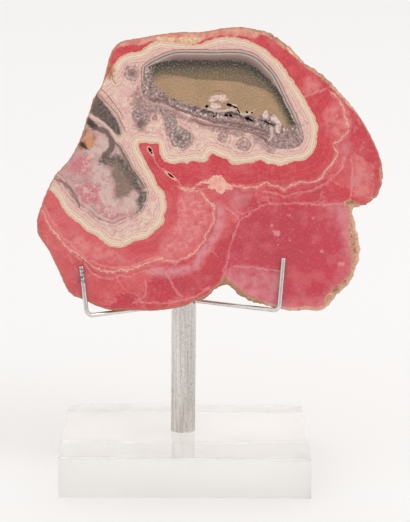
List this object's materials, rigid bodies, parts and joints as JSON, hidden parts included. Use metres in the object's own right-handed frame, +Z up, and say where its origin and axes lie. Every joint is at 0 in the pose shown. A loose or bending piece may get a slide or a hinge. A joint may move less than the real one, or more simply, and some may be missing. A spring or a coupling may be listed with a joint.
{
  "type": "rhodochrosite slice on a stand",
  "caption": "Polished banded rhodochrosite slab leaning back in a bent-wire cradle, on a round metal post set in a clear rectangular acrylic block.",
  "frame": {"origin": "centre of the acrylic block's underside, on the surface that the object stands on", "axes": "+Z up, +X to the viewer's right across the block's long side, +Y to the back, away from the slice's polished face"},
  "size_m": [0.1378, 0.075, 0.182],
  "materials": {
    "banded_stone": "polished face with pink, cream and grey bands, rough tan rind on the rim",
    "clear_acrylic": "clear polished acrylic",
    "turned_aluminium": "drawn rod with fine lengthwise marks and small pits",
    "steel_wire": "smooth bright wire, dulled and stained in places"
  },
  "bodies": {
    "root": {"rhodochrosite_slice": "banded_stone", "acrylic_base": "clear_acrylic", "post": "turned_aluminium", "left_wire_arm": "steel_wire", "right_wire_arm": "steel_wire"}
  },
  "joints": []
}
